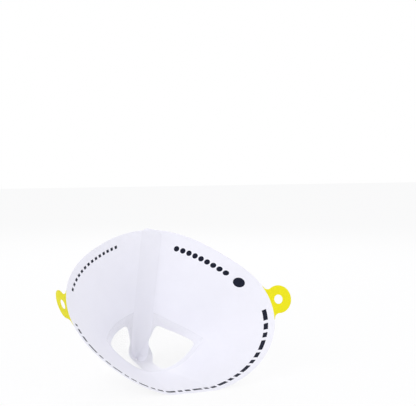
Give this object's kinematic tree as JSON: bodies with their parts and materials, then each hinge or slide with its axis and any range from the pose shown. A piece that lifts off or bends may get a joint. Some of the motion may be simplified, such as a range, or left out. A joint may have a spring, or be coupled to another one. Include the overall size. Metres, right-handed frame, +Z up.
{
  "type": "paint strainer",
  "caption": "Disposable paper cone strainer lying on its side, with two screened windows near the closed tip, a glued seam, a wavy rim and two round hanging ears.",
  "frame": {"origin": "centre of the bounding box's bottom face, on the surface that the strainer lies on", "axes": "+X towards the right ear seen from the mouth, -Y out of the mouth, +Y towards the closed tip, +Z up with the seam on top"},
  "size_m": [0.1994, 0.13, 0.1248],
  "materials": {
    "paper": "smooth white coated paper, with yellow printed ears and a dark printed line round the rim",
    "gauze": "fine white synthetic gauze"
  },
  "bodies": {
    "root": {"paper_cone": "paper", "mesh_screen": "gauze"}
  },
  "joints": []
}
